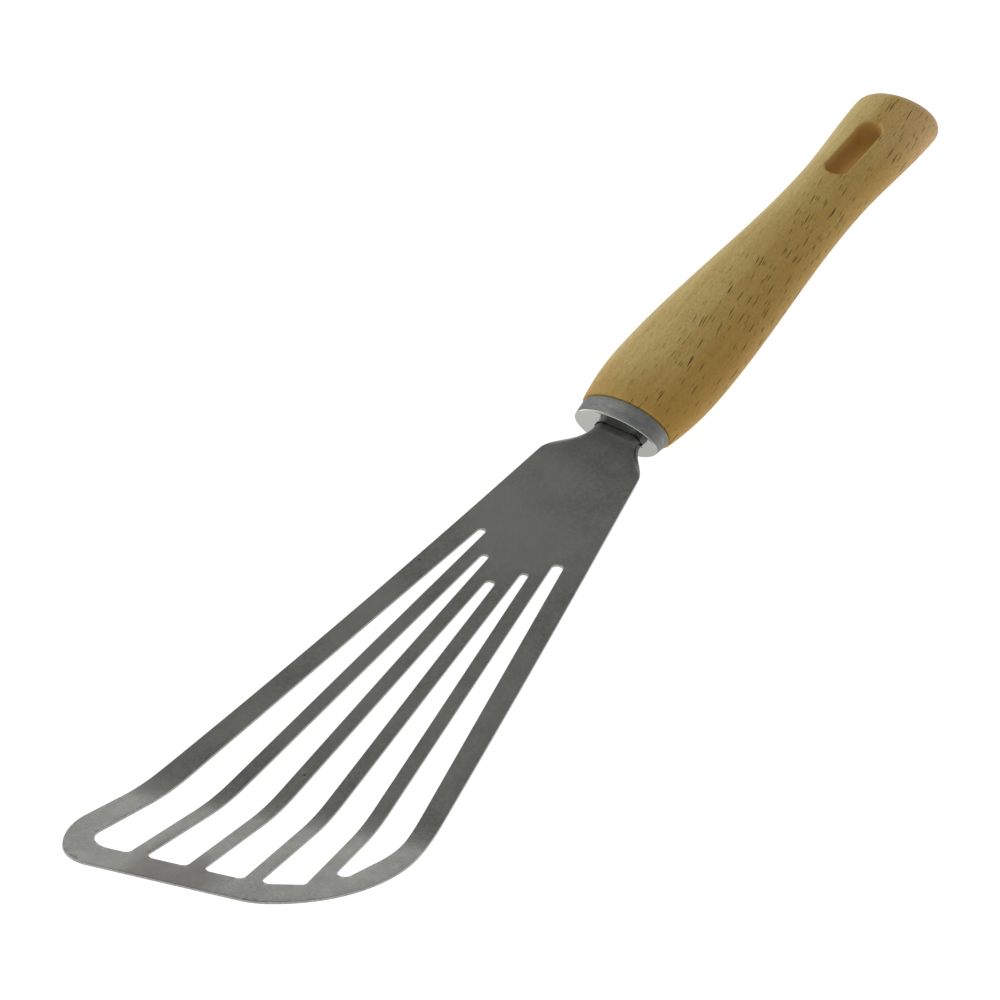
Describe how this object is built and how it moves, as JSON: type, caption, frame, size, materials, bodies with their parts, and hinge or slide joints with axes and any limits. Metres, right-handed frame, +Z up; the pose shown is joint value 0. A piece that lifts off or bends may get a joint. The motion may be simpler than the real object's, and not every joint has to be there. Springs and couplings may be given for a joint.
{
  "type": "slotted turner",
  "caption": "Kitchen turner with a thin slotted sheet-steel blade, a slanted turned-up tip, a short ferrule and an oval wooden handle with a hang hole.",
  "frame": {"origin": "middle of the turner's length and width, on the table that it rests on", "axes": "+X from the handle towards the blade's tip, +Z up from the table"},
  "size_m": [0.3252, 0.0688, 0.0191],
  "materials": {
    "beech": "oiled, fine-pored, with short dark flecks along the grain",
    "bright_steel": "brushed band with a polished face",
    "satin_steel": "satin with a fine grain, lightly stained at the tip",
    "cured_epoxy": "cured, matt"
  },
  "bodies": {
    "root": {"handle": "beech", "ferrule": "bright_steel", "blade": "satin_steel", "tang_bond": "cured_epoxy"}
  },
  "joints": []
}
